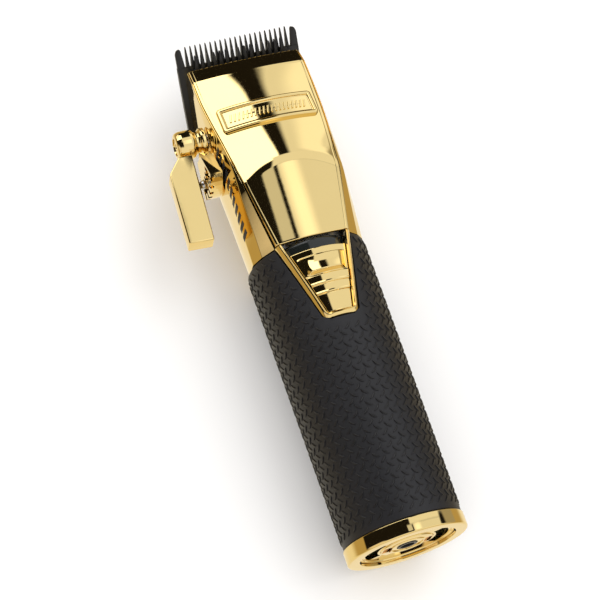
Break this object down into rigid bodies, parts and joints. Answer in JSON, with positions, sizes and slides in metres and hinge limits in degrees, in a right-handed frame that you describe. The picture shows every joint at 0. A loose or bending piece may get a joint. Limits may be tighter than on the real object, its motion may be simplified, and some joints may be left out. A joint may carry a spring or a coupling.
{
  "type": "hair clipper",
  "caption": "Cordless hair clipper: metal head with comb blade and taper lever, textured barrel handle, thumb slide switch and a charging jack in the end.",
  "frame": {"origin": "middle of the flat pad on the back of the head that the clipper lies on, on its left-right symmetry plane", "axes": "+Y runs along the handle towards the blade's teeth, +Z is the front, with the switch, facing up as it lies on its back, and -X is the side with the taper lever"},
  "size_m": [0.058, 0.1803, 0.0425],
  "materials": {
    "gold_plate": "mirror-polished gold plating on die-cast metal",
    "sleeve_rubber": "matte charcoal rubber moulded with a raised diamond tread",
    "black_steel": "black-coated ground steel",
    "black_plastic": "moulded black plastic",
    "black_gloss": "glossy black plastic",
    "white_plastic": "natural moulded plastic",
    "steel": "bright turned and stamped steel",
    "aluminium": "plain machined aluminium",
    "copper": "copper alloy and enamelled windings",
    "magnet_black": "sintered magnet",
    "board_green": "coated circuit board",
    "cell_wrap": "shrink-wrapped battery cell",
    "red_wire": "insulated wire"
  },
  "bodies": {
    "body": {"rear_housing": "gold_plate", "front_cover": "gold_plate", "name_plate": "gold_plate", "handle_sleeve": "sleeve_rubber", "handle_tube": "aluminium", "end_ring": "gold_plate", "end_plate": "gold_plate", "charging_jack": "black_plastic", "jack_pin": "steel", "contact_left": "copper", "contact_right": "copper", "charge_board": "board_green", "battery_cell": "cell_wrap", "battery_cradle": "white_plastic", "battery_lead_red": "red_wire", "battery_lead_black": "black_plastic", "circuit_board": "board_green", "slide_switch": "black_plastic", "switch_frame": "gold_plate", "switch_floor": "black_gloss", "motor_can": "steel", "motor_end_bell": "white_plastic", "motor_magnet": "magnet_black", "motor_bearing_rear": "steel", "motor_bearing_front": "steel", "motor_cradle": "black_plastic", "detent_plate": "gold_plate", "rear_screw_lower": "black_steel", "rear_screw_upper": "black_steel", "fixed_blade": "black_steel", "blade_base": "aluminium", "blade_screw_left": "steel", "blade_screw_right": "steel"},
    "lever": {"lever_hub": "gold_plate", "lever_paddle": "gold_plate", "lever_shaft": "steel", "lever_screw": "gold_plate", "detent_ball": "steel", "detent_spring": "steel"},
    "carriage": {"cutter_carriage": "steel", "tension_spring": "steel"},
    "cutter": {"cutter_blade": "black_steel", "cutter_yoke": "black_plastic"},
    "rotor": {"rotor_core": "copper", "motor_shaft": "steel", "drive_cam": "white_plastic"},
    "slider": {"switch_slider": "gold_plate"}
  },
  "joints": [
    {"name": "lever_pivot", "type": "hinge", "parent": "body", "child": "lever", "pos_m": [-0.0204, 0.0315, 0.0263], "axis": [1, 0, 0], "range_deg": [-22, 22]},
    {"name": "taper_slide", "type": "slide", "parent": "body", "child": "carriage", "axis": [0, 0.766, 0.6428], "range_m": [-0.0006, 0.0006]},
    {"name": "cutter_sweep", "type": "slide", "parent": "carriage", "child": "cutter", "axis": [1, 0, 0], "range_m": [-0.0014, 0.0014]},
    {"name": "motor_spin", "type": "hinge", "parent": "body", "child": "rotor", "pos_m": [0, 0, 0.0223], "axis": [0, 1, 0], "continuous": true},
    {"name": "power_switch", "type": "slide", "parent": "body", "child": "slider", "axis": [0, 1, 0], "range_m": [0, 0.0034]}
  ],
  "couplings": [
    {"joint": "taper_slide", "follows": "lever_pivot", "m_per_rad": -0.00146}
  ]
}
